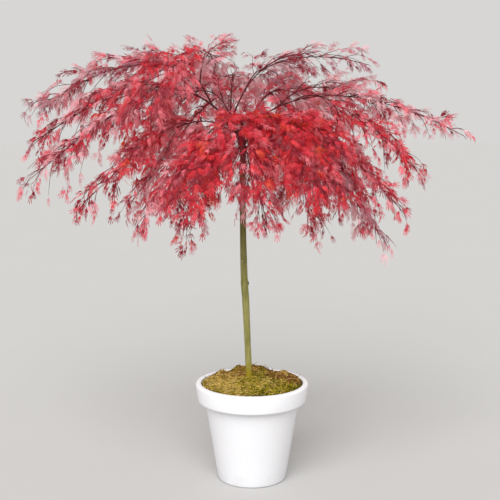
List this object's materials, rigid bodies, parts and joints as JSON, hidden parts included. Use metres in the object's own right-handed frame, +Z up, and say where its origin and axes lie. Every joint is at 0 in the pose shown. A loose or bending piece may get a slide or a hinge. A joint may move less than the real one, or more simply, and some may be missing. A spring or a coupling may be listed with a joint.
{
  "type": "potted lace-leaf japanese maple",
  "caption": "Weeping standard maple in autumn red: a slim straight stem grafted high, arching boughs with hanging cut leaves, in a white tapered planter topped with moss.",
  "frame": {"origin": "middle of the planter's flat underside, on the floor", "axes": "+Z up; +X to the right and -Y towards the viewer of the front view; the crown is widest along X"},
  "size_m": [1.6468, 1.2628, 1.596],
  "materials": {
    "planter": "smooth satin white",
    "soil": "dark crumbly potting soil",
    "moss": "dry olive and brown moss",
    "trunk_bark": "smooth olive bark with pale spots, darker at the graft",
    "bough_bark": "dark red-brown bark",
    "leaves_scarlet": "thin autumn leaves, bright scarlet",
    "leaves_crimson": "thin autumn leaves, crimson",
    "leaves_rose": "thin autumn leaves, dusty rose red",
    "leaves_dusk": "thin autumn leaves, dusky purple"
  },
  "bodies": {
    "root": {"pot": "planter", "potting_soil": "soil", "moss": "moss", "trunk": "trunk_bark", "bough_leader": "bough_bark", "bough_leader_spray": "bough_bark", "bough_crown_left": "bough_bark", "bough_crown_back": "bough_bark", "bough_crown_right": "bough_bark", "bough_crown_front": "bough_bark", "bough_left_arm": "bough_bark", "bough_left_crest": "bough_bark", "bough_left_sweep": "bough_bark", "bough_left_skirt": "bough_bark", "bough_left_fall": "bough_bark", "bough_left_inner": "bough_bark", "bough_right_arm": "bough_bark", "bough_right_crest": "bough_bark", "bough_right_sweep": "bough_bark", "bough_right_skirt": "bough_bark", "bough_right_fall": "bough_bark", "bough_right_inner": "bough_bark", "bough_front_left": "bough_bark", "bough_front_mid": "bough_bark", "bough_front_right": "bough_bark", "bough_front_brow": "bough_bark", "bough_front_low": "bough_bark", "bough_back_left": "bough_bark", "bough_back_mid": "bough_bark", "bough_back_right": "bough_bark", "bough_back_low_left": "bough_bark", "bough_back_low_right": "bough_bark", "foliage_leader": "leaves_dusk", "foliage_leader_spray": "leaves_dusk", "foliage_crown_left": "leaves_dusk", "foliage_crown_back": "leaves_rose", "foliage_crown_right": "leaves_dusk", "foliage_crown_front": "leaves_crimson", "foliage_left_arm": "leaves_rose", "foliage_left_crest": "leaves_dusk", "foliage_left_sweep": "leaves_rose", "foliage_left_skirt": "leaves_crimson", "foliage_left_fall": "leaves_rose", "foliage_left_inner": "leaves_rose", "foliage_right_arm": "leaves_crimson", "foliage_right_crest": "leaves_rose", "foliage_right_sweep": "leaves_crimson", "foliage_right_skirt": "leaves_crimson", "foliage_right_fall": "leaves_rose", "foliage_right_inner": "leaves_rose", "foliage_front_left": "leaves_scarlet", "foliage_front_mid": "leaves_scarlet", "foliage_front_right": "leaves_scarlet", "foliage_front_brow": "leaves_scarlet", "foliage_front_low": "leaves_scarlet", "foliage_back_left": "leaves_rose", "foliage_back_mid": "leaves_rose", "foliage_back_right": "leaves_rose", "foliage_back_low_left": "leaves_rose", "foliage_back_low_right": "leaves_crimson"}
  },
  "joints": []
}
